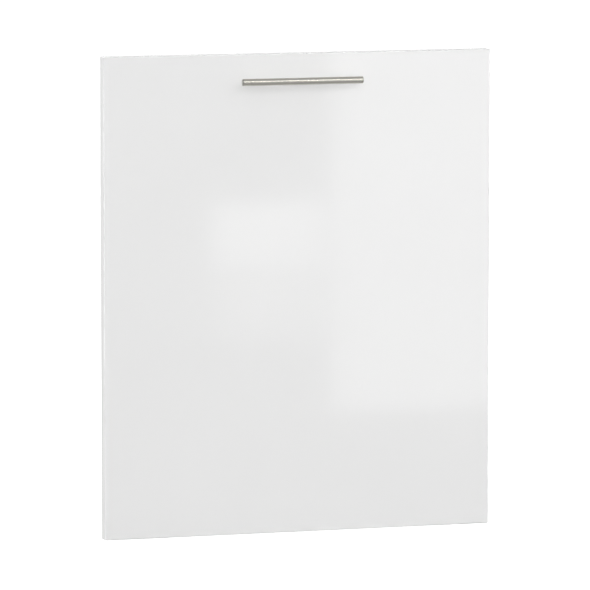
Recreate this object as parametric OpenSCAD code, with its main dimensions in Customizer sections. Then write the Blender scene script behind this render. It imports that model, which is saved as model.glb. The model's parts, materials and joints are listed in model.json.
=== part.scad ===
// Front of a fully integrated dishwasher: a high-gloss kitchen front with its
// bar handle, hung on the two sliding fittings that carry it on the appliance
// door. Millimetres, +Z up, +X to the right and -Y out into the room.
// The origin is the centre of the eight fixing holes, in the plane where the
// brackets seat on the appliance door. At rest the front hangs on its stops.

/* [Panel] */
// Width over both edge bands
panel_w = 596; // [446:1:896]
// Height over both edge bands
panel_h = 713; // [560:1:900]
// Thickness over both facings
panel_t = 19; // [18:0.5:25]
// Thickness of the high-gloss acrylic facing
facing_t = 1; // [0.6:0.1:1.5]
// Thickness of the melamine facing on the back
backing_t = 0.4; // [0.3:0.1:1]
// Thickness of the edge bands, and the radius of their outer edges
band_t = 1.5; // [1:0.5:3]

/* [Handle] */
// Overall length of the bar
bar_l = 185; // [168:1:320]
// Diameter of the bar
bar_d = 10.5; // [10:0.5:14]
// Chamfer at each end of the bar
bar_chamfer = 0.6; // [0.4:0.1:2.5]
// Distance between the two posts
post_cc = 128; // [96:32:160]
// Diameter of the posts
post_d = 8; // [7:0.5:10]
// From the face of the panel to the far side of the bar
handle_reach = 27; // [26:1:40]
// From the top edge of the panel to the middle of the bar
handle_drop = 40; // [30:1:80]

/* [Sliding fittings] */
// From the side edge of the panel to the middle of its rail
fitting_inset = 88; // [60:1:150]
// From the top edge of the panel to the middle of the brackets
fitting_drop = 190; // [120:5:260]
// How far the panel slides up while the door opens
travel = 60; // [30:5:80]
// Length of the slider in the rail
slider_l = 80; // [70:5:100]
// Width of the rail
rail_w = 34; // [32:1:38]
// Depth of the rail
rail_d = 10.5; // [10:0.5:12]
// Width of the appliance bracket over its flanges
bracket_w = 66; // [62:1:76]
// Height of the appliance bracket
bracket_h = 90; // [86:2:110]
// Thickness of the bracket's steel
bracket_t = 2.5; // [2:0.25:3]

/* [Spacer blocks] */
// Width of the block in each lower corner
spacer_w = 36; // [24:1:60]
// Height of the block
spacer_h = 50; // [42:1:80]
// From the bottom edge of the panel to the middle of the block
spacer_rise = 70; // [50:1:120]
// Thickness of the glide that slides on the appliance door
glide_t = 2; // [1:0.5:3]

/* [Hidden] */
$fn = 64;
// How far two joined shapes overlap, and how far a cut runs past a face
eps = 0.01;
over = 1;

// Planes along Y, from the appliance out to the room
rail_gap = 1;
back_y = -(bracket_t + rail_gap + rail_d);
core_back_y = back_y - backing_t;
face_y = back_y - panel_t;
core_front_y = face_y + facing_t;
saddle_y = face_y - handle_reach + bar_d;
bar_y = saddle_y - bar_d / 2;

// Heights along Z
top_z = fitting_drop;
bottom_z = top_z - panel_h;
panel_z = top_z - panel_h / 2;
bar_z = top_z - handle_drop;
spacer_z = bottom_z + spacer_rise;

// Rail section: a floor on the panel, two walls and two lips beside the slot
floor_t = 3.5;
wall_t = 2.4;
lip_t = 2.6;
slot_w = 15;
channel_w = rail_w - 2 * wall_t;
floor_y = back_y + floor_t;
lip_y = back_y + rail_d - lip_t;
run_gap = 0.3;

// End stops: a plug in the channel and a cap over the end of the rail
plug_l = 13.7;
plug_gap = 0.15;
cap_t = 3;
rail_l = slider_l + travel + 2 * (plug_l + run_gap);
rail_top_z = slider_l / 2 + run_gap + plug_l;
rail_mid_z = rail_top_z - rail_l / 2;
stop_face_y = lip_y - plug_gap;

// Slider, with its head in the channel and its neck on the bracket
slider_head_w = channel_w - 2 * run_gap;
slider_head_t = lip_y - floor_y - 2 * run_gap;
slider_neck_w = slot_w - 2 * run_gap;
slider_face_y = floor_y + run_gap;
slider_lead = 3;
bolt_dz = 25;

// Bracket: stiffening flanges and four holes tapped M5 for the appliance door
flange_reach = 7;
bend_r = bracket_t + 0.5;
bracket_corner_r = 6;
flange_inset = 9;
flange_root = bracket_t + 0.25;
fixing_dx = 23;
fixing_dz = 32;
fixing_r = 2.1;

// Spacer block
spacer_corner_r = 4;
spacer_seat = 6;
spacer_screw_dz = 14;
glide_gap = 0.2;
spacer_y = -(glide_gap + glide_t);

// Chipboard screws of 3.5 mm
wood_r = 1.7;
wood_tip_l = 3;
wood_tip_r = 0.2;
wood_head_r = 3.4;
wood_hole_r = 1.8;
wood_pilot_l = 13;
rail_screw_l = 16;
rail_screw_dz = 28;
stop_screw_l = 20;
spacer_screw_l = 16;

// M4 machine screws, studs, bolts and square nuts
m4_r = 1.95;
m4_tapped_r = 2;
m4_clear_r = 2.25;
handle_hole_r = 2.5;
handle_screw_grip = 6;
pan_head_r = 4;
pan_head_h = 2.6;
pan_crown = 1;
post_bore_l = 9;
stud_l = 10;
stud_in_bar = 5;
stud_gap = 0.5;
stud_key_r = 1.15;
stud_key_l = 2;
bolt_head_r = 3.75;
nut_w = 7;
nut_h = 2.2;
nut_gap = 0.1;
nut_seat_y = lip_y - run_gap - 0.6;

// Countersunk heads sit this far under their face, with this much room round them
head_sink = 0.15;
head_gap = 0.2;
recess_w = 3.7;
recess_l = 1.4;

SIDES = ["left", "right"];
ENDS = ["upper", "lower"];
BANDS = ["top", "bottom", "left", "right"];

// -1 on the left and 1 on the right, seen from the room; 1 up and -1 down
function side_sign(s) = s == "left" ? -1 : 1;
function end_sign(e) = e == "upper" ? 1 : -1;
function post_x(s) = side_sign(s) * post_cc / 2;
function fitting_x(s) = side_sign(s) * (panel_w / 2 - fitting_inset);
function rail_end_z(e) = rail_mid_z + end_sign(e) * rail_l / 2;

// Heights of each kind of screw and bolt
bolt_zs = [bolt_dz, -bolt_dz];
rail_screw_zs = [rail_mid_z + rail_screw_dz, rail_mid_z - rail_screw_dz];
stop_screw_zs = [for (e = ENDS) rail_end_z(e) - end_sign(e) * plug_l / 2];
spacer_screw_zs = [spacer_z + spacer_screw_dz, spacer_z - spacer_screw_dz];

// ---- Shared shapes ----

// A rectangle about the origin with true arcs at its corners
module rounded_square(size, r) {
    square([size.x - 2 * r, size.y], center = true);
    square([size.x, size.y - 2 * r], center = true);
    for (x = [-1, 1], y = [-1, 1])
        translate([x * (size.x / 2 - r), y * (size.y / 2 - r)]) circle(r);
}

// A cylinder along Y, from y0 out towards the room
module rod_y(r, l, y0) {
    translate([0, y0, 0]) rotate([90, 0, 0]) cylinder(r = r, h = l);
}

// A cone along Y with radius r0 at y0, then r1 at its end towards the room
module cone_y(r0, r1, l, y0) {
    translate([0, y0, 0]) rotate([90, 0, 0]) cylinder(r1 = r0, r2 = r1, h = l);
}

// A rounded plate in the XZ plane, from y0 out towards the room
module plate_y(size, r, t, y0) {
    translate([0, y0, 0]) rotate([90, 0, 0]) linear_extrude(t) rounded_square(size, r);
}

// A cross recess in a screw head whose face is at y0
module cross_recess(y0) {
    slot = recess_w / 4;
    for (a = [0, 90])
        rotate([0, a, 0])
            translate([-recess_w / 2, y0 - recess_l, -slot / 2])
                cube([recess_w, recess_l + over, slot]);
}

// A screw hole through l from y0 with a 90 degree countersink
module countersunk_hole(hole_r, head_r, l, y0) {
    sink_r = head_r + head_gap;
    rod_y(hole_r, l + over, y0 + over / 2);
    cone_y(sink_r, hole_r, sink_r - hole_r, y0);
}

// A countersunk chipboard screw with its head just under the plane y0
module wood_screw(l, y0) {
    head_l = wood_head_r - wood_r;
    head_y = y0 - head_sink;
    difference() {
        union() {
            cone_y(wood_head_r, wood_r, head_l, head_y);
            rod_y(wood_r, l - head_l - wood_tip_l, head_y - head_l);
            cone_y(wood_r, wood_tip_r, wood_tip_l, head_y - l + wood_tip_l);
        }
        cross_recess(head_y);
    }
}

// ---- Panel ----

// The finished outside of the board, with every edge rounded
module panel_envelope() {
    translate([0, back_y - panel_t / 2, panel_z]) intersection() {
        linear_extrude(panel_h, center = true) rounded_square([panel_w, panel_t], band_t);
        rotate([90, 0, 0])
            linear_extrude(panel_t, center = true) rounded_square([panel_w, panel_h], band_t);
        rotate([90, 0, 90])
            linear_extrude(panel_w, center = true) rounded_square([panel_t, panel_h], band_t);
    }
}

// A layer of the board inside the edge bands, from y_wall out to y_room
module board_layer(y_wall, y_room) {
    translate([-panel_w / 2 + band_t, y_room, bottom_z + band_t])
        cube([panel_w - 2 * band_t, y_wall - y_room, panel_h - 2 * band_t]);
}

// Through holes for the two handle screws
module handle_holes() {
    for (s = SIDES)
        translate([post_x(s), 0, bar_z]) rod_y(handle_hole_r, panel_t + 2 * over, back_y + over);
}

// Pilot holes for every chipboard screw, drilled from the back
module pilot_holes() {
    for (s = SIDES, z = concat(rail_screw_zs, stop_screw_zs, spacer_screw_zs))
        translate([fitting_x(s), 0, z]) rod_y(wood_hole_r, wood_pilot_l + over, back_y + over);
}

module panel_core() {
    color("burlywood") difference() {
        board_layer(core_back_y, core_front_y);
        handle_holes();
        pilot_holes();
    }
}

module front_facing() {
    color("white") difference() {
        board_layer(core_front_y, face_y);
        handle_holes();
    }
}

module back_facing() {
    color("whitesmoke") difference() {
        board_layer(back_y, core_back_y);
        handle_holes();
        pilot_holes();
    }
}

// The side bands run the full height and the other two lie between them
module edge_band(b) {
    upright = b == "left" || b == "right";
    towards = b == "left" || b == "bottom" ? -1 : 1;
    size = upright ? [band_t, panel_t, panel_h] : [panel_w - 2 * band_t, panel_t, band_t];
    x = upright ? towards * (panel_w - band_t) / 2 : 0;
    z = upright ? 0 : towards * (panel_h - band_t) / 2;
    color("white") intersection() {
        panel_envelope();
        translate([x, back_y - panel_t / 2, panel_z + z]) cube(size, center = true);
    }
}

// ---- Handle ----

// Round bar along X with chamfered ends, tapped at the back for the two studs
module handle_bar() {
    r = bar_d / 2;
    tip_r = r - bar_chamfer;
    color("silver") difference() {
        translate([-bar_l / 2, bar_y, bar_z]) rotate([0, 90, 0]) {
            cylinder(r1 = tip_r, r2 = r, h = bar_chamfer);
            translate([0, 0, bar_chamfer]) cylinder(r = r, h = bar_l - 2 * bar_chamfer);
            translate([0, 0, bar_l - bar_chamfer])
                cylinder(r1 = r, r2 = tip_r, h = bar_chamfer);
        }
        for (s = SIDES)
            translate([post_x(s), 0, bar_z])
                rod_y(m4_tapped_r, stud_in_bar + stud_gap + over, saddle_y + over);
    }
}

// Turned post, saddled to the bar and tapped at both ends
module handle_post(s) {
    stud_hole_l = stud_l - stud_in_bar + stud_gap;
    color("silver") difference() {
        translate([post_x(s), 0, bar_z]) rod_y(post_d / 2, face_y - bar_y, face_y);
        translate([-bar_l / 2, bar_y, bar_z]) rotate([0, 90, 0]) cylinder(d = bar_d, h = bar_l);
        translate([post_x(s), 0, bar_z]) {
            rod_y(m4_tapped_r, post_bore_l + over, face_y + over);
            rod_y(m4_tapped_r, stud_hole_l + over, saddle_y + stud_hole_l);
        }
    }
}

// Threaded stud with a hexagon socket, between the post and the bar
module post_stud(s) {
    end_y = saddle_y + stud_l - stud_in_bar;
    color("dimgray") translate([post_x(s), 0, bar_z]) difference() {
        rod_y(m4_r, stud_l, end_y);
        translate([0, end_y + over, 0])
            rotate([90, 0, 0]) cylinder(r = stud_key_r, h = stud_key_l + over, $fn = 6);
    }
}

// Pan-head machine screw through the panel into the post
module handle_screw(s) {
    head_y = back_y + pan_head_h;
    color("silver") translate([post_x(s), 0, bar_z]) difference() {
        union() {
            rod_y(m4_r, panel_t + handle_screw_grip, back_y);
            rod_y(pan_head_r, pan_head_h - pan_crown, head_y - pan_crown);
            cone_y(pan_head_r - pan_crown, pan_head_r, pan_crown, head_y);
        }
        cross_recess(head_y);
    }
}

// ---- Rails, fixed to the panel ----

// Section of the rail in the XY plane, open towards the appliance
module rail_section() {
    difference() {
        translate([-rail_w / 2, back_y]) square([rail_w, rail_d]);
        translate([-channel_w / 2, floor_y]) square([channel_w, lip_y - floor_y]);
        translate([-slot_w / 2, floor_y]) square([slot_w, rail_d]);
    }
}

module slide_rail(s) {
    color("gainsboro") translate([fitting_x(s), 0, 0]) difference() {
        translate([0, 0, rail_mid_z]) linear_extrude(rail_l, center = true) rail_section();
        for (z = rail_screw_zs)
            translate([0, 0, z]) countersunk_hole(wood_hole_r, wood_head_r, floor_t, floor_y);
        for (z = stop_screw_zs)
            translate([0, 0, z]) rod_y(wood_hole_r, floor_t + over, floor_y + over / 2);
    }
}

module rail_screws(s) {
    color("khaki") for (z = rail_screw_zs)
        translate([fitting_x(s), 0, z]) wood_screw(rail_screw_l, floor_y);
}

// End stop of the rail; the upper one carries the panel on the slider
module rail_stop(e, s) {
    up = end_sign(e);
    plug_z = rail_end_z(e) - up * (plug_l - eps) / 2;
    cap_z = rail_end_z(e) + up * cap_t / 2;
    plug = [channel_w - 2 * plug_gap, stop_face_y - floor_y - plug_gap, plug_l + eps];
    color("gray") translate([fitting_x(s), 0, 0]) difference() {
        union() {
            translate([-plug.x / 2, stop_face_y - plug.y, plug_z - plug.z / 2]) cube(plug);
            translate([-rail_w / 2, back_y, cap_z - cap_t / 2]) cube([rail_w, rail_d, cap_t]);
        }
        translate([0, 0, rail_end_z(e) - up * plug_l / 2])
            countersunk_hole(wood_hole_r, wood_head_r, plug.y, stop_face_y);
    }
}

module stop_screws(s) {
    color("khaki") for (z = stop_screw_zs)
        translate([fitting_x(s), 0, z]) wood_screw(stop_screw_l, stop_face_y);
}

// ---- Sliders and brackets, fixed to the appliance door ----

// T-shaped slider: its head runs in the rail and its neck bears on the bracket
module slider(s) {
    pocket = nut_w + 2 * nut_gap;
    color("darkslategray") translate([fitting_x(s), 0, 0]) difference() {
        translate([0, slider_face_y, -slider_l / 2]) {
            translate([-slider_head_w / 2, 0, 0]) cube([slider_head_w, slider_head_t, slider_l]);
            translate([-slider_neck_w / 2, 0, 0])
                cube([slider_neck_w, -bracket_t - slider_face_y, slider_l]);
        }
        for (x = [-1, 1], z = [-1, 1])
            translate([x * slider_head_w / 2, back_y, z * slider_l / 2])
                rotate([0, 45, 0])
                    cube([slider_lead, 2 * rail_d, slider_lead], center = true);
        for (z = bolt_zs) translate([0, 0, z]) {
            rod_y(m4_clear_r, rail_d + over, over);
            translate([-pocket / 2, slider_face_y - over, -pocket / 2])
                cube([pocket, nut_seat_y - slider_face_y + over, pocket]);
        }
    }
}

// Square nuts let into the face of the slider
module slider_nuts(s) {
    color("silver") for (z = bolt_zs)
        translate([fitting_x(s), 0, z]) difference() {
            translate([-nut_w / 2, nut_seat_y - nut_h, -nut_w / 2]) cube([nut_w, nut_h, nut_w]);
            rod_y(m4_tapped_r, 2 * rail_d, 0);
        }
}

// Countersunk bolts that clamp the slider to its bracket, flush with the seat
module bracket_bolts(s) {
    head_l = bolt_head_r - m4_r;
    shank_l = -head_sink - head_l - slider_face_y;
    color("silver") for (z = bolt_zs)
        translate([fitting_x(s), 0, z]) difference() {
            union() {
                cone_y(bolt_head_r, m4_r, head_l, -head_sink);
                rod_y(m4_r, shank_l, -head_sink - head_l);
            }
            cross_recess(-head_sink);
        }
}

// Section of the bracket in the XY plane: a plate with a flange along each side
module bracket_section() {
    depth = bracket_t + flange_reach;
    difference() {
        translate([0, -depth]) rounded_square([bracket_w, 2 * depth], bend_r);
        translate([0, -depth - bracket_t])
            rounded_square([bracket_w - 2 * bracket_t, 2 * depth], bend_r - bracket_t);
        translate([-bracket_w, -3 * depth]) square([2 * bracket_w, 2 * depth]);
    }
}

module appliance_bracket(s) {
    color("lightsteelblue") translate([fitting_x(s), 0, 0]) difference() {
        intersection() {
            linear_extrude(bracket_h, center = true) bracket_section();
            plate_y([bracket_w, bracket_h], bracket_corner_r, rail_d + over, 0);
        }
        for (x = [-1, 1], z = [-1, 1])
            translate([x * fixing_dx, 0, z * fixing_dz])
                rod_y(fixing_r, bracket_t + 2 * over, over);
        for (z = bolt_zs)
            translate([0, 0, z]) countersunk_hole(m4_clear_r, bolt_head_r, bracket_t, 0);
        // The flanges stop short of the rounded corners
        for (z = [-1, 1])
            translate([0, -flange_root - rail_d / 2, z * bracket_h / 2])
                cube([2 * bracket_w, rail_d, 2 * flange_inset], center = true);
    }
}

// ---- Spacer blocks, fixed to the panel ----

// Block that keeps the lower part of the panel parallel to the appliance door
module spacer_block(s) {
    depth = spacer_y - back_y;
    color("gray") difference() {
        translate([fitting_x(s), 0, spacer_z])
            plate_y([spacer_w, spacer_h], spacer_corner_r, depth, spacer_y);
        for (z = spacer_screw_zs) translate([fitting_x(s), 0, z]) {
            countersunk_hole(wood_hole_r, wood_head_r, spacer_seat, back_y + spacer_seat);
            rod_y(wood_head_r + head_gap, depth, back_y + spacer_seat + depth);
        }
    }
}

// Slippery strip glued over the block
module spacer_glide(s) {
    color("ivory") translate([fitting_x(s), 0, spacer_z])
        plate_y([spacer_w, spacer_h], spacer_corner_r, glide_t, -glide_gap);
}

module spacer_screws(s) {
    color("khaki") for (z = spacer_screw_zs)
        translate([fitting_x(s), 0, z]) wood_screw(spacer_screw_l, back_y + spacer_seat);
}

// ---- Nodes ----

panel_core();
front_facing();
back_facing();
for (b = BANDS)
    edge_band(b);
handle_bar();
for (s = SIDES) {
    handle_post(s);
    post_stud(s);
    handle_screw(s);
    slide_rail(s);
    rail_screws(s);
    for (e = ENDS)
        rail_stop(e, s);
    stop_screws(s);
    slider(s);
    slider_nuts(s);
    appliance_bracket(s);
    bracket_bolts(s);
    spacer_block(s);
    spacer_glide(s);
    spacer_screws(s);
}
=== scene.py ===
"""Looks of the dishwasher front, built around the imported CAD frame.

Metres, +Z up, +X to the right, -Y out into the room. Every piece that shows is an eased
copy of its CAD node, so it stays where the CAD puts it. The core and the studs, which
other pieces cover, keep the CAD mesh. All materials are procedural.
"""

import json
import math

import bmesh
import bpy
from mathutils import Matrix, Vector

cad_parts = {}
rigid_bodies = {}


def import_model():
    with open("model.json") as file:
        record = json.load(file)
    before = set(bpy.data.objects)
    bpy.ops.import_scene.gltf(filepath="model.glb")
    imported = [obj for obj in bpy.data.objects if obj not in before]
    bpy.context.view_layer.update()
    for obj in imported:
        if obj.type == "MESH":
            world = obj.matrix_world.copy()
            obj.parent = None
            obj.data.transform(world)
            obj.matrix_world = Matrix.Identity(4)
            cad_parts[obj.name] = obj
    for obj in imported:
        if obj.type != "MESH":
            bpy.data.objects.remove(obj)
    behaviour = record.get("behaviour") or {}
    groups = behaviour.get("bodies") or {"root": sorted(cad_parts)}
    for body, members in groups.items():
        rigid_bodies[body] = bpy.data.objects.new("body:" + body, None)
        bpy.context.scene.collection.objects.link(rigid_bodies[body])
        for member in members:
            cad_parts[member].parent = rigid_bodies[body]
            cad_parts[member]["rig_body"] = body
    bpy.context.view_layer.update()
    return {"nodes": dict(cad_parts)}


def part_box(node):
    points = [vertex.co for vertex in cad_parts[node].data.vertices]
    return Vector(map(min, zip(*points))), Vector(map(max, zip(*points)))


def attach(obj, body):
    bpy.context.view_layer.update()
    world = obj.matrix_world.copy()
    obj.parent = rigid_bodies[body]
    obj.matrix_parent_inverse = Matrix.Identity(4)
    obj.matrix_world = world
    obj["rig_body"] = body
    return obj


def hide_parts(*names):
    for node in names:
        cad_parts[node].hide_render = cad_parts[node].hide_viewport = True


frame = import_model()

MM = 0.001

# In copies of CAD meshes, vertices closer than WELD are one, faces that meet at less than
# FLAT are one, and edges where they meet at more than CREASE are eased
WELD = 0.002 * MM
FLAT = math.radians(0.5)
CREASE = math.radians(32)

# The range that most values of a noise lie in, and the whole range of a texture
NOISE_SPAN = (0.3, 0.7)
WHOLE = (0.0, 1.0)

# ---- Where things are, from the CAD ----

left_band_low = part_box("edge_band_left")[0]
right_band_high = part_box("edge_band_right")[1]
face_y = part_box("front_facing")[0].y
back_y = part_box("back_facing")[1].y
panel_low = Vector((left_band_low.x, face_y, left_band_low.z))
panel_high = Vector((right_band_high.x, back_y, right_band_high.z))
panel_centre = (panel_low + panel_high) / 2
bar_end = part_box("handle_bar")[1].x


# ---- Materials ----


class Finish:
    """A procedural material, built node by node in the object's own coordinates."""

    def __init__(self, name, metallic=0.0):
        self.material = bpy.data.materials.new(name)
        self.material.use_nodes = True
        self.tree = self.material.node_tree
        self.shader = self.tree.nodes["Principled BSDF"]
        self.set("Metallic", metallic)
        self.place = self.add("ShaderNodeTexCoord").outputs["Object"]

    def set(self, socket, value):
        """One value all over, on the shader's own socket."""
        self.shader.inputs[socket].default_value = value

    def add(self, kind, **settings):
        """A new node of that kind."""
        node = self.tree.nodes.new(kind)
        for key, value in settings.items():
            setattr(node, key, value)
        return node

    def join(self, source, target):
        """Links an output to an input."""
        self.tree.links.new(source, target)

    def drive(self, socket, source):
        """Lets a texture set one of the shader's sockets."""
        self.join(source, self.shader.inputs[socket])

    def stretched(self, x, y, z):
        """The object's coordinates times x, y and z, for grain that runs one way."""
        mapping = self.add("ShaderNodeMapping")
        mapping.inputs["Scale"].default_value = (x, y, z)
        self.join(self.place, mapping.inputs["Vector"])
        return mapping.outputs["Vector"]

    def noise(self, scale, detail=3.0, place=None):
        """Soft noise with that many features per metre, at the given or the plain place."""
        node = self.add("ShaderNodeTexNoise")
        node.inputs["Scale"].default_value = scale
        node.inputs["Detail"].default_value = detail
        self.join(place or self.place, node.inputs["Vector"])
        return node.outputs["Fac"]

    def grain(self, x, y, z, detail=3.0):
        """Noise with x, y and z features per metre, so in lines along the least of them."""
        return self.noise(scale=1.0, detail=detail, place=self.stretched(x, y, z))

    def cells(self, scale, feature="F1"):
        """Distance to the nearest of scattered points, with that many per metre."""
        node = self.add("ShaderNodeTexVoronoi", feature=feature)
        node.inputs["Scale"].default_value = scale
        self.join(self.place, node.inputs["Vector"])
        return node.outputs["Distance"]

    def between(self, source, low, high, span=NOISE_SPAN):
        """The source's span, mapped to low to high."""
        node = self.add("ShaderNodeMapRange")
        node.inputs["From Min"].default_value = span[0]
        node.inputs["From Max"].default_value = span[1]
        node.inputs["To Min"].default_value = low
        node.inputs["To Max"].default_value = high
        self.join(source, node.inputs["Value"])
        return node.outputs["Result"]

    def combined(self, first, second, operation="ADD"):
        """The two sources added up, or put together by another operation."""
        node = self.add("ShaderNodeMath", operation=operation)
        self.join(first, node.inputs[0])
        self.join(second, node.inputs[1])
        return node.outputs["Value"]

    def beyond(self, axis, limit):
        """One where the object's own coordinate is past the limit on either side, else zero."""
        split = self.add("ShaderNodeSeparateXYZ")
        reach = self.add("ShaderNodeMath", operation="ABSOLUTE")
        past = self.add("ShaderNodeMath", operation="GREATER_THAN")
        past.inputs[1].default_value = limit
        self.join(self.place, split.inputs["Vector"])
        self.join(split.outputs[axis], reach.inputs[0])
        self.join(reach.outputs["Value"], past.inputs[0])
        return past.outputs["Value"]

    def tint(self, source, dark, light, span=NOISE_SPAN):
        """Two colours, mixed along the source's span."""
        return self.tints(source, ((span[0], dark), (span[1], light)))

    def tints(self, source, stops):
        """Several colours along the source, each given as (position, colour)."""
        node = self.add("ShaderNodeValToRGB")
        ramp = node.color_ramp
        for position, _ in stops[1:-1]:
            ramp.elements.new(position)
        for element, (position, colour) in zip(ramp.elements, stops):
            element.position = position
            element.color = (*colour, 1.0)
        self.join(source, node.inputs["Fac"])
        return node.outputs["Color"]

    def bump(self, height, depth, strength=1.0):
        """Lets a texture raise the surface by up to that depth in metres."""
        node = self.add("ShaderNodeBump")
        node.inputs["Distance"].default_value = depth
        node.inputs["Strength"].default_value = strength
        self.join(height, node.inputs["Height"])
        self.drive("Normal", node.outputs["Normal"])


def front_gloss():
    """High-gloss lacquer: neutral white, with faint orange peel and a few dull hazes."""
    finish = Finish("front_gloss")
    finish.set("IOR", 1.7)
    clouds = finish.noise(scale=9.0, detail=2.0)
    hazes = finish.noise(scale=60.0, detail=4.0)
    finish.drive("Base Color", finish.tint(clouds, (0.836, 0.836, 0.836), (0.844, 0.844, 0.844)))
    finish.drive("Roughness", finish.between(hazes, 0.03, 0.06))
    finish.bump(finish.noise(scale=90.0, detail=2.0), 0.003 * MM)
    return finish.material


def brushed_handle():
    """Satin metal, brushed round the bar, with painted shade darkening its ends."""
    finish = Finish("brushed_handle", metallic=1.0)
    finish.set("Specular Tint", (0.72, 0.71, 0.69, 1.0))
    shaded_end_depth = 0.5 * MM
    # The brushed length has shades from 0.5 to 1, and the ends, darkened by painted shade, have
    # 0 or less
    lines = finish.between(finish.grain(2500.0, 60.0, 60.0), 0.5, 1.0)
    # Painted shade: the last half millimetre and the end faces get a darker grey that stands for
    # shade
    shaded_ends = finish.beyond("X", bar_end - shaded_end_depth)
    brushing_and_end_shade = finish.combined(lines, shaded_ends, operation="SUBTRACT")
    painted_end_shade = (0.46, 0.45, 0.42)
    dark = (0.71, 0.69, 0.63)
    light = (0.73, 0.71, 0.65)
    colours = ((0.0, painted_end_shade), (0.5, dark), (1.0, light))
    finish.drive("Base Color", finish.tints(brushing_and_end_shade, colours))
    finish.drive("Roughness", finish.between(brushing_and_end_shade, 0.25, 0.21, span=WHOLE))
    return finish.material


def edge_gloss():
    """Lacquered edge band: a little duller than the face, with faint marks of the trimmer."""
    finish = Finish("edge_gloss")
    finish.set("IOR", 1.6)
    clouds = finish.noise(scale=25.0)
    finish.drive("Base Color", finish.tint(clouds, (0.83, 0.83, 0.83), (0.85, 0.85, 0.85)))
    marks = finish.grain(350.0, 20.0, 350.0, detail=1.0)
    finish.drive("Roughness", finish.between(marks, 0.06, 0.12))
    finish.bump(marks, 0.004 * MM)
    return finish.material


def fibreboard():
    """Medium-density fibreboard: short pressed fibres, dark and light."""
    finish = Finish("board")
    finish.set("Roughness", 0.85)
    fibres = finish.grain(500.0, 2500.0, 500.0, detail=5.0)
    finish.drive("Base Color", finish.tint(fibres, (0.3, 0.2, 0.12), (0.52, 0.39, 0.26)))
    finish.bump(fibres, 0.06 * MM)
    return finish.material


def melamine():
    """White melamine paper with a fine pearl emboss and faint clouds."""
    finish = Finish("back_melamine")
    pearls = finish.cells(scale=900.0, feature="SMOOTH_F1")
    clouds = finish.noise(scale=14.0)
    finish.drive("Base Color", finish.tint(clouds, (0.765, 0.765, 0.755), (0.79, 0.79, 0.785)))
    finish.drive("Roughness", finish.between(pearls, 0.42, 0.6, span=WHOLE))
    finish.bump(pearls, 0.03 * MM, strength=0.6)
    return finish.material


def zinc():
    """Blue-white zinc plating with a fine grain and a faint bloom."""
    finish = Finish("zinc_screw", metallic=1.0)
    bloom = finish.noise(scale=500.0, detail=4.0)
    finish.drive("Base Color", finish.tint(bloom, (0.52, 0.54, 0.57), (0.7, 0.72, 0.74)))
    finish.drive("Roughness", finish.between(bloom, 0.22, 0.42))
    finish.bump(finish.noise(scale=3000.0), 0.01 * MM)
    return finish.material


def yellow_zinc():
    """Yellow chromated zinc, which drifts from straw to green and rose."""
    finish = Finish("yellow_screw", metallic=1.0)
    drift = finish.noise(scale=350.0, detail=2.0)
    green = (0.6, 0.62, 0.3)
    straw = (0.82, 0.63, 0.28)
    rose = (0.78, 0.48, 0.36)
    colours = ((0.3, green), (0.5, straw), (0.7, rose))
    finish.drive("Base Color", finish.tints(drift, colours))
    finish.drive("Roughness", finish.between(finish.noise(scale=900.0), 0.25, 0.42))
    return finish.material


def black_oxide():
    """Black oxide on a cut thread: nearly matt, worn brown in places."""
    finish = Finish("black_stud", metallic=1.0)
    wear = finish.noise(scale=700.0, detail=4.0)
    finish.drive("Base Color", finish.tint(wear, (0.04, 0.04, 0.045), (0.13, 0.11, 0.1)))
    finish.drive("Roughness", finish.between(wear, 0.4, 0.6))
    return finish.material


def acetal(name, dark, light):
    """Satin extruded acetal, with drawing lines along its length."""
    finish = Finish(name)
    lines = finish.grain(1400.0, 1400.0, 9.0)
    finish.drive("Base Color", finish.tint(lines, dark, light))
    finish.drive("Roughness", finish.between(lines, 0.3, 0.46))
    finish.bump(lines, 0.01 * MM)
    return finish.material


def sparked_nylon():
    """Moulded nylon with the grain of a spark-eroded mould."""
    finish = Finish("stop_plastic")
    grain = finish.noise(scale=1800.0, detail=2.0)
    finish.drive("Base Color", finish.tint(grain, (0.2, 0.21, 0.22), (0.26, 0.27, 0.28)))
    finish.drive("Roughness", finish.between(grain, 0.48, 0.66))
    finish.bump(grain, 0.05 * MM, strength=0.7)
    return finish.material


def plated_sheet():
    """Cold-rolled steel sheet, zinc plated: rolling lines and a faint crystal pattern."""
    finish = Finish("bracket_steel", metallic=1.0)
    rolled = finish.grain(2200.0, 2200.0, 25.0)
    crystals = finish.cells(scale=350.0)
    lines = finish.between(rolled, 0.0, 0.7, span=WHOLE)
    frost = finish.between(crystals, 0.0, 0.25, span=WHOLE)
    mixed = finish.combined(lines, frost)
    dark = (0.5, 0.52, 0.55)
    light = (0.7, 0.72, 0.74)
    mixed_span = (0.2, 0.8)
    finish.drive("Base Color", finish.tint(mixed, dark, light, span=mixed_span))
    finish.drive("Roughness", finish.between(mixed, 0.26, 0.46, span=mixed_span))
    finish.bump(rolled, 0.008 * MM)
    return finish.material


def waxy_glide():
    """Ivory polyethylene, faintly translucent, scuffed along the way it slides."""
    finish = Finish("glide_plastic")
    finish.set("Subsurface Weight", 0.15)
    finish.set("Subsurface Scale", 1.5 * MM)
    scuffs = finish.grain(1600.0, 1600.0, 30.0, detail=4.0)
    finish.drive("Base Color", finish.tint(scuffs, (0.7, 0.68, 0.6), (0.79, 0.77, 0.7)))
    finish.drive("Roughness", finish.between(scuffs, 0.36, 0.58))
    finish.bump(scuffs, 0.012 * MM)
    return finish.material


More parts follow.
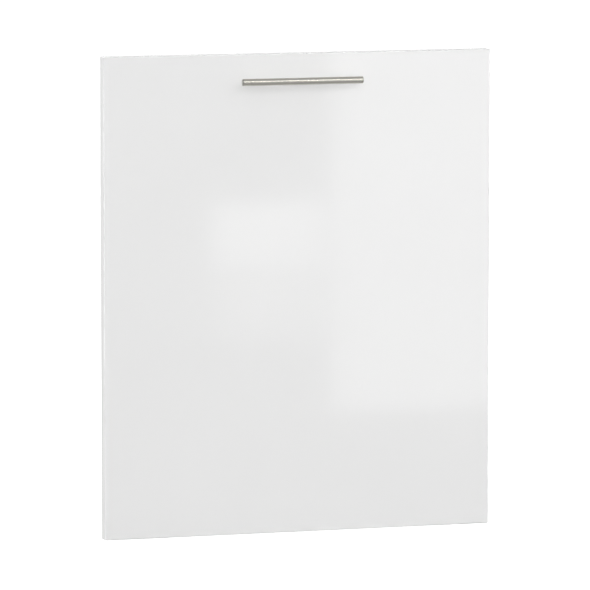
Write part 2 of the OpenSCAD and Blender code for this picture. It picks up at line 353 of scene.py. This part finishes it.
MATERIALS = {
    "front_gloss": front_gloss(),
    "edge_gloss": edge_gloss(),
    "board": fibreboard(),
    "back_melamine": melamine(),
    "brushed_handle": brushed_handle(),
    "zinc_screw": zinc(),
    "yellow_screw": yellow_zinc(),
    "black_stud": black_oxide(),
    "rail_plastic": acetal("rail_plastic", (0.66, 0.67, 0.67), (0.73, 0.74, 0.74)),
    "stop_plastic": sparked_nylon(),
    "slider_plastic": acetal("slider_plastic", (0.035, 0.04, 0.045), (0.06, 0.068, 0.075)),
    "bracket_steel": plated_sheet(),
    "glide_plastic": waxy_glide(),
}

# The slot of each CAD node is the name of the material that it comes with
NODE_SLOT = {name: node.data.materials[0].name.split(".")[0]
             for name, node in frame["nodes"].items()}


# ---- Meshes ----


def whole_mesh(node):
    """A copy of a CAD node's mesh: flat faces made whole, smooth up to the creases."""
    bm = bmesh.new()
    bm.from_mesh(frame["nodes"][node].data)
    bmesh.ops.remove_doubles(bm, verts=bm.verts, dist=WELD)
    bmesh.ops.dissolve_limit(bm, angle_limit=FLAT, verts=bm.verts, edges=bm.edges)
    bmesh.ops.recalc_face_normals(bm, faces=bm.faces)
    for face in bm.faces:
        face.smooth = True
    for edge in bm.edges:
        edge.smooth = len(edge.link_faces) == 2 and edge.calc_face_angle(0) < CREASE
    mesh = bpy.data.meshes.new(node + "_visual")
    bm.to_mesh(mesh)
    bm.free()
    return mesh


def ease(node, size, steps=2):
    """Stands an eased copy of a CAD node in for it, on the same body and slot."""
    slot = NODE_SLOT[node]
    mesh = whole_mesh(node)
    mesh.materials.append(MATERIALS[slot])
    piece = bpy.data.objects.new(node + "_visual", mesh)
    bpy.context.scene.collection.objects.link(piece)
    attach(piece, frame["nodes"][node]["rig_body"])
    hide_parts(node)
    bevel = piece.modifiers.new("eased_edges", "BEVEL")
    bevel.width = size
    bevel.segments = steps
    bevel.limit_method = "ANGLE"
    bevel.angle_limit = CREASE
    bevel.harden_normals = True


# ---- Stage, light and camera ----

# How far the floor lies under the panel, and how far it reaches
FLOOR_DROP = 0.13
FLOOR_REACH = 60.0


def make_floor():
    """A wide pale floor that only the camera sees, so it lights and shades nothing."""
    bm = bmesh.new()
    bmesh.ops.create_grid(bm, x_segments=8, y_segments=8, size=FLOOR_REACH)
    mesh = bpy.data.meshes.new("floor")
    bm.to_mesh(mesh)
    bm.free()
    floor = bpy.data.objects.new("floor", mesh)
    bpy.context.scene.collection.objects.link(floor)
    floor.location.z = panel_low.z - FLOOR_DROP
    finish = Finish("pale_floor")
    finish.set("Base Color", (0.9, 0.9, 0.9, 1.0))
    finish.set("Roughness", 0.9)
    finish.set("Specular IOR Level", 0.0)
    finish.set("Emission Color", (1.0, 1.0, 1.0, 1.0))
    finish.set("Emission Strength", 0.6)
    mesh.materials.append(finish.material)
    floor.visible_diffuse = False
    floor.visible_glossy = False
    floor.visible_shadow = False


# The grey of the surroundings at each height: 0 is straight down, 0.5 the horizon, 1 the top
SKY = {0.0: 0.12, 0.45: 0.12, 0.55: 0.6, 0.75: 0.6, 1.0: 0.45}


def make_world():
    """Soft white surroundings, brighter overhead than underneath."""
    world = bpy.data.worlds.new("studio")
    bpy.context.scene.world = world
    world.use_nodes = True
    tree = world.node_tree
    sky = tree.nodes["Background"]
    place = tree.nodes.new("ShaderNodeTexCoord")
    split = tree.nodes.new("ShaderNodeSeparateXYZ")
    level = tree.nodes.new("ShaderNodeMapRange")
    ramp = tree.nodes.new("ShaderNodeValToRGB")
    # The coordinate runs from -1, straight down, to 1, and the ramp from 0 to 1
    level.inputs["From Min"].default_value = -1.0
    # The ramp comes with its two ends
    stops = ramp.color_ramp.elements
    for height in list(SKY)[1:-1]:
        stops.new(height)
    for stop, grey in zip(stops, SKY.values()):
        stop.color = (grey, grey, grey, 1.0)
    tree.links.new(place.outputs["Generated"], split.inputs["Vector"])
    tree.links.new(split.outputs["Z"], level.inputs["Value"])
    tree.links.new(level.outputs["Result"], ramp.inputs["Fac"])
    tree.links.new(ramp.outputs["Color"], sky.inputs["Color"])


def softbox(name, place, towards, size, radiance, shadow=True, gloss=True, diffuse=True):
    """An area light of that radiance, unseen by the camera itself.

    Without a shadow it is sampled as a light only, or else rays that are blocked on their
    way to it would leave a dark rim round the handle.
    """
    light = bpy.data.lights.new(name, "AREA")
    light.shape = "RECTANGLE"
    light.size, light.size_y = size
    light.energy = radiance * math.pi * size[0] * size[1]
    light.use_shadow = shadow
    light.cycles.use_multiple_importance_sampling = shadow
    lamp = bpy.data.objects.new(name, light)
    bpy.context.scene.collection.objects.link(lamp)
    lamp.location = place
    lamp.rotation_euler = (Vector(towards) - Vector(place)).to_track_quat("-Z", "Y").to_euler()
    lamp.visible_camera = False
    lamp.visible_glossy = gloss
    lamp.visible_diffuse = diffuse


# How far out in the room the cards stand that the gloss mirrors
CARD_Y = -3.53


def card(name, x, z, size, radiance):
    """An upright card of light that faces the panel squarely."""
    softbox(name, (x, CARD_Y, z), (x, 0.0, z), size, radiance)


def light_the_front():
    """The key from above, and cards for the bright wall and the window in the gloss."""
    softbox("key", (0.9, -2.6, 1.4), panel_centre, size=(3.0, 0.4), radiance=3.2)
    card("front_right", x=2.0, z=-0.33, size=(1.7, 1.0), radiance=0.9)
    card("window_top", x=1.01, z=-0.45, size=(0.25, 0.14), radiance=1.0)
    card("window_foot", x=1.01, z=-0.6, size=(0.25, 0.14), radiance=0.45)


def light_from_below():
    """A dim glow under the horizon, in front, below and behind, seen only in reflections."""
    glow = {"radiance": 0.26, "diffuse": False}
    wall = (10.0, 4.0)
    ground = (10.0, 8.0)
    softbox("low_front", (0.0, -3.7, -2.0), (0.0, 0.0, -2.0), size=wall, **glow)
    softbox("low_floor", (0.0, 0.0, -4.0), (0.0, 0.0, 0.0), size=ground, **glow)
    softbox("low_back", (0.0, 3.7, -2.0), (0.0, 0.0, -2.0), size=wall, **glow)


def light_the_rest():
    """The back, a sheen on the top edge, the two sides, and fills that cast no shadow."""
    top_edge = (0.0, 0.0, panel_high.z)
    even = {"shadow": False, "gloss": False}
    softbox("back", (0.0, 2.6, 1.9), panel_centre, size=(2.4, 1.0), radiance=3.0)
    softbox("top_sheen", (0.8, 2.6, 0.5), top_edge, size=(5.0, 0.7), radiance=0.4)
    softbox("strip_left", (-2.6, -1.6, 0.0), panel_centre, size=(0.5, 2.4), radiance=2.0)
    softbox("strip_right", (2.6, -1.3, 0.0), panel_centre, size=(0.5, 2.4), radiance=2.0)
    softbox("fill", (0.0, -4.0, 0.1), panel_centre, size=(2.0, 2.0), radiance=6.15, **even)
    softbox("left_fill", (-3.5, 0.6, -0.3), panel_centre, size=(1.5, 1.5), radiance=10.3, **even)
    softbox("right_fill", (3.5, 0.6, -0.3), panel_centre, size=(1.5, 1.5), radiance=7.0, **even)


# The camera looks at AIM, a point on the panel's face, with a long lens from far away,
# because the photograph's edges hardly converge
AZIMUTH = math.radians(-17.1)
ELEVATION = math.radians(6.4)
DISTANCE = 8.7
LENS = 358.75
AIM = Vector((-5.5 * MM, face_y, -168.5 * MM))


def make_camera():
    """The photograph's view: far away, from the left and a little above."""
    camera = bpy.data.cameras.new("camera")
    camera.lens = LENS
    camera.sensor_width = 36.0
    camera.clip_start = 0.1
    camera.clip_end = 200.0
    holder = bpy.data.objects.new("camera", camera)
    bpy.context.scene.collection.objects.link(holder)
    away = Vector((math.sin(AZIMUTH) * math.cos(ELEVATION),
                   -math.cos(AZIMUTH) * math.cos(ELEVATION), math.sin(ELEVATION)))
    holder.location = AIM + away * DISTANCE
    holder.rotation_euler = (-away).to_track_quat("-Z", "Y").to_euler()
    bpy.context.scene.camera = holder


# ---- Everything, in order ----

bpy.context.scene.view_settings.view_transform = "Standard"
make_camera()
make_floor()
make_world()
light_the_front()
light_from_below()
light_the_rest()

# Every CAD node gets its finish, and then all but the core and the studs get an eased
# copy: the single pieces first, then each left and right pair
for cad_name, cad_node in frame["nodes"].items():
    cad_node.material_slots[0].material = MATERIALS[NODE_SLOT[cad_name]]

ease("handle_bar", 0.15 * MM, steps=3)
ease("front_facing", 0.12 * MM)
ease("back_facing", 0.08 * MM)
for band in ("top", "bottom", "left", "right"):
    ease("edge_band_" + band, 0.12 * MM)
EASED_PAIRS_MM = {
    "slide_rail": 0.3, "rail_stop_upper": 0.3, "rail_stop_lower": 0.3, "slider": 0.3,
    "slider_nuts": 0.15, "appliance_bracket": 0.25, "bracket_bolts": 0.1,
    "spacer_block": 0.4, "spacer_glide": 0.5, "handle_screw": 0.15,
    "rail_screws": 0.1, "stop_screws": 0.1, "spacer_screws": 0.1,
}
for side in ("left", "right"):
    ease("handle_post_" + side, 0.25 * MM, steps=3)
    for pair, size_mm in EASED_PAIRS_MM.items():
        ease(pair + "_" + side, size_mm * MM)
